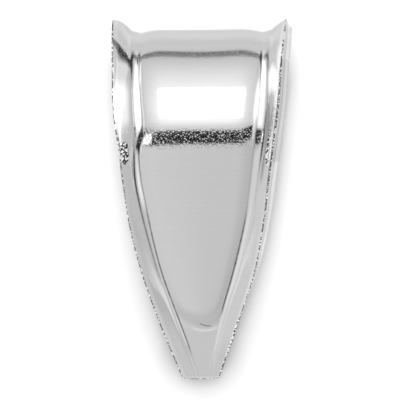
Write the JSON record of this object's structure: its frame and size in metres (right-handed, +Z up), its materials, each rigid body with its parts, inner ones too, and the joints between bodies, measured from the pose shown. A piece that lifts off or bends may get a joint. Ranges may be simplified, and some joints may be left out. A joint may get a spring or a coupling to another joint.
{
  "type": "pendant bail finding",
  "caption": "Teardrop bail folded from one stamped strip with turned-up rims and a raised tapering panel; a chain runs through its loop and a pendant is soldered to its tip.",
  "frame": {"origin": "centre of the bail's outline, on the surface that it lies on", "axes": "+X across the strip, +Y from the tip to the loop, +Z up from the surface under the back leaf"},
  "size_m": [0.0056, 0.011, 0.0052],
  "materials": {
    "polished_white_metal": "polished white metal with a slight stamped texture and gritty sheared edges"
  },
  "bodies": {
    "root": {"bail": "polished_white_metal"}
  },
  "joints": []
}
